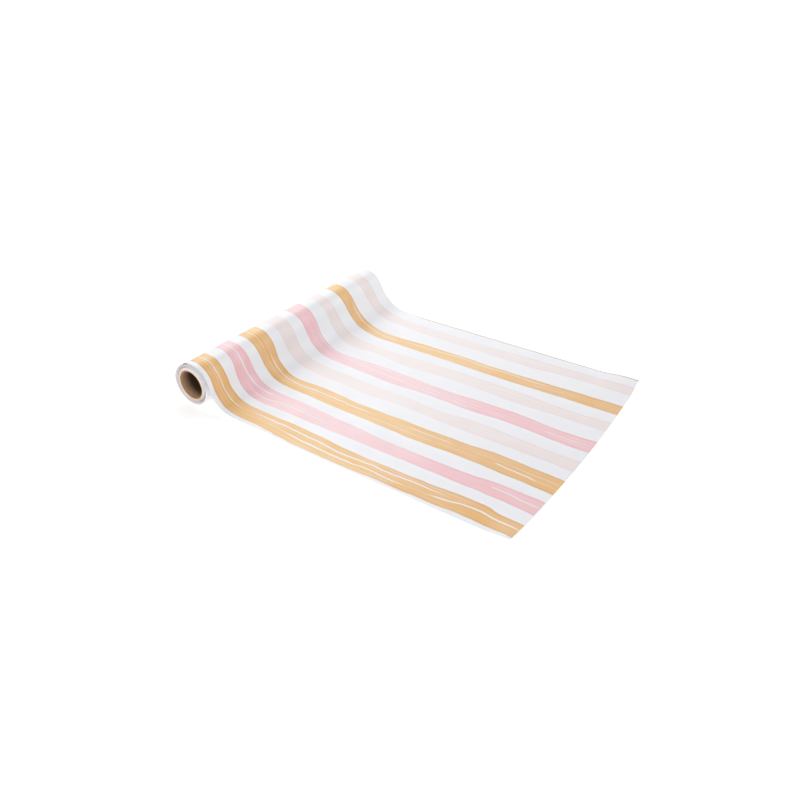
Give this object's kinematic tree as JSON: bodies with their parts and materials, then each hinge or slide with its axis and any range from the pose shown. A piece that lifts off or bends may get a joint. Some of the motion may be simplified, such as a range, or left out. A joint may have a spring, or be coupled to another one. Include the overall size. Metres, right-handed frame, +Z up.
{
  "type": "wrapping paper roll",
  "caption": "Roll of striped wrapping paper on a cardboard core, with a length drawn off over the top of the roll and lying flat in front of it.",
  "frame": {"origin": "on the table, at the centre of the bottom of the whole object's box", "axes": "+X from the roll to the cut end of the sheet, +Y along the roll away from the end whose sheet edge stands off it, +Z up"},
  "size_m": [0.6518, 0.5, 0.079],
  "materials": {
    "printed_paper": "satin",
    "wound_paper": "satin",
    "kraft_board": "matte",
    "core_liner": "matte",
    "clear_tape": "gloss"
  },
  "bodies": {
    "laid_sheet": {"paper_outer_turn": "printed_paper", "sheet_drop": "printed_paper", "sheet_flat": "printed_paper"},
    "roll": {"core_inner_ply": "kraft_board", "core_middle_ply": "kraft_board", "core_outer_ply": "core_liner", "core_start_tape": "clear_tape", "paper_winding": "wound_paper"},
    "free_end": {"sheet_free_end": "printed_paper"}
  },
  "joints": [
    {"name": "roll_spin", "type": "hinge", "parent": "laid_sheet", "child": "roll", "pos_m": [-0.28664, 0, 0.0368], "axis": [0, 1, 0], "range_deg": [-360, 360]},
    {"name": "sheet_draw", "type": "slide", "parent": "laid_sheet", "child": "free_end", "axis": [1, 0, 0], "range_m": [-0.2325, 0.2325], "deforming": ["sheet_flat"]}
  ],
  "couplings": [
    {"joint": "sheet_draw", "follows": "roll_spin", "m_per_rad": 0.0368}
  ]
}
